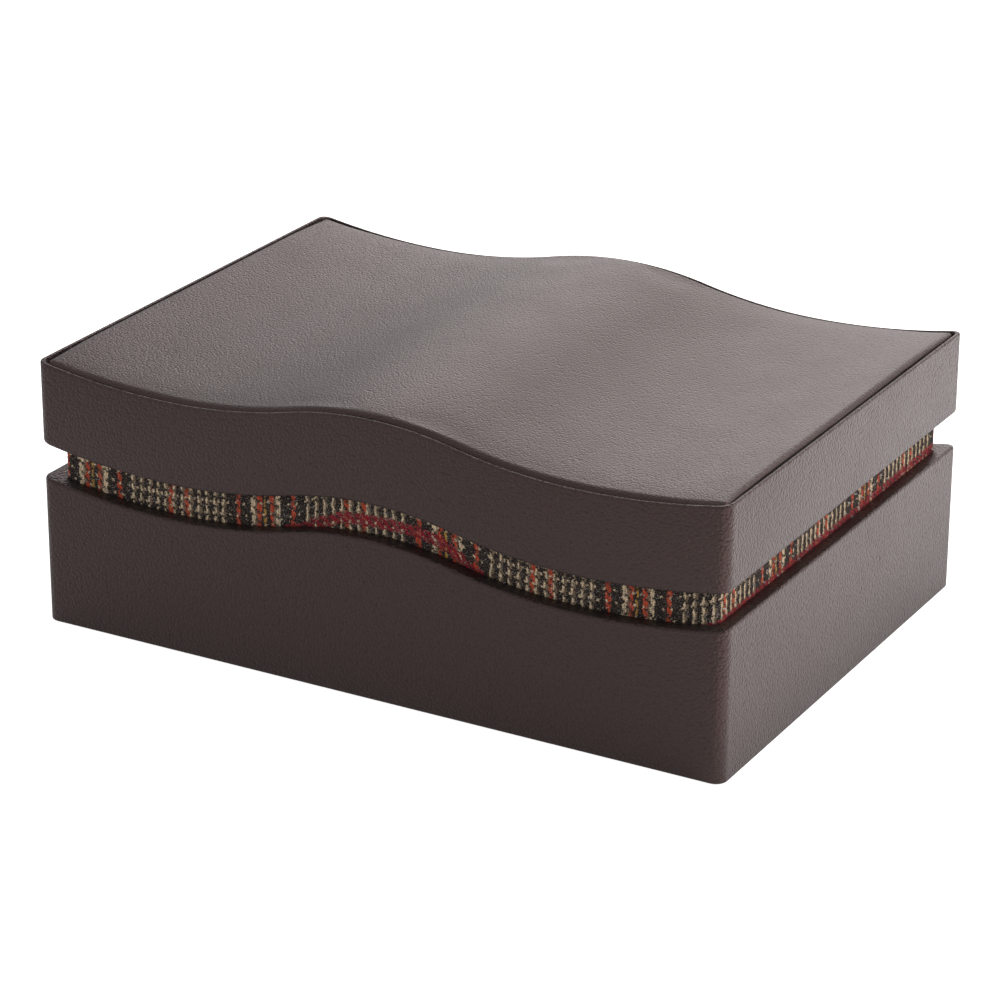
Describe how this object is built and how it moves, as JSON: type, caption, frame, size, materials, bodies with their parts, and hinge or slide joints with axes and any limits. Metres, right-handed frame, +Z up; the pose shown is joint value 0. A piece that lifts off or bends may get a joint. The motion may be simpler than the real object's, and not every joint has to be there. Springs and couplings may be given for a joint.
{
  "type": "cufflink box with drawer",
  "caption": "Leather-covered cufflink box with a wave-shaped hinged lid over a tweed-covered neck, padded rolls inside and a drawer in its left end.",
  "frame": {"origin": "on the surface the box stands on, under the middle of its footprint", "axes": "+X along the length towards the right end, away from the drawer; +Y from the front to the hinged back; +Z up"},
  "size_m": [0.22, 0.156, 0.0845],
  "materials": {
    "leather": "dark brown pebble-grained leather, semi-matt",
    "panel_leather": "dark brown pebble-grained leather over thin foam, semi-matt",
    "tweed": "woollen check tweed in charcoal, cream, rust and crimson",
    "suede": "fawn suede cloth",
    "felt": "dark felt",
    "board": "raw fibreboard",
    "slip_strip": "smooth low-friction tape",
    "brass": "polished"
  },
  "bodies": {
    "base": {"base_back_board": "board", "base_bottom_board": "board", "base_felt_pad": "felt", "base_front_board": "board", "base_hinge_leaf_left": "brass", "base_hinge_leaf_right": "brass", "base_hinge_screws": "brass", "base_leather_wrap": "leather", "base_left_header": "board", "base_right_board": "board", "cufflink_roll_1": "suede", "cufflink_roll_2": "suede", "cufflink_roll_3": "suede", "cufflink_roll_4": "suede", "cufflink_roll_5": "suede", "deck_board": "board", "drawer_bumpers": "felt", "drawer_runner_back": "slip_strip", "drawer_runner_front": "slip_strip", "drawer_stop_strip": "board", "hinge_pin_left": "brass", "hinge_pin_right": "brass", "neck_back_board": "board", "neck_front_board": "board", "neck_left_board": "board", "neck_lining": "suede", "neck_right_board": "board", "neck_tweed_band": "tweed", "tray_floor_lining": "suede", "tray_long_divider": "suede", "tray_short_divider_left": "suede", "tray_short_divider_right": "suede"},
    "lid": {"lid_back_board": "board", "lid_cushion": "suede", "lid_front_board": "board", "lid_hinge_leaf_left": "brass", "lid_hinge_leaf_right": "brass", "lid_hinge_screws": "brass", "lid_left_board": "board", "lid_right_board": "board", "lid_side_wrap": "leather", "lid_top_board": "board", "lid_top_pad": "panel_leather"},
    "drawer": {"drawer_front_board": "board", "drawer_front_wrap": "leather", "drawer_bottom_board": "board", "drawer_side_front": "board", "drawer_side_back": "board", "drawer_back_board": "board", "drawer_floor_lining": "suede", "drawer_divider_left": "suede", "drawer_divider_right": "suede"}
  },
  "joints": [
    {"name": "lid_hinge", "type": "hinge", "parent": "base", "child": "lid", "pos_m": [0, 0.07503, 0.04635], "axis": [-1, 0, 0], "range_deg": [0, 100]},
    {"name": "drawer_slide", "type": "slide", "parent": "base", "child": "drawer", "axis": [-1, 0, 0], "range_m": [0, 0.15]}
  ]
}
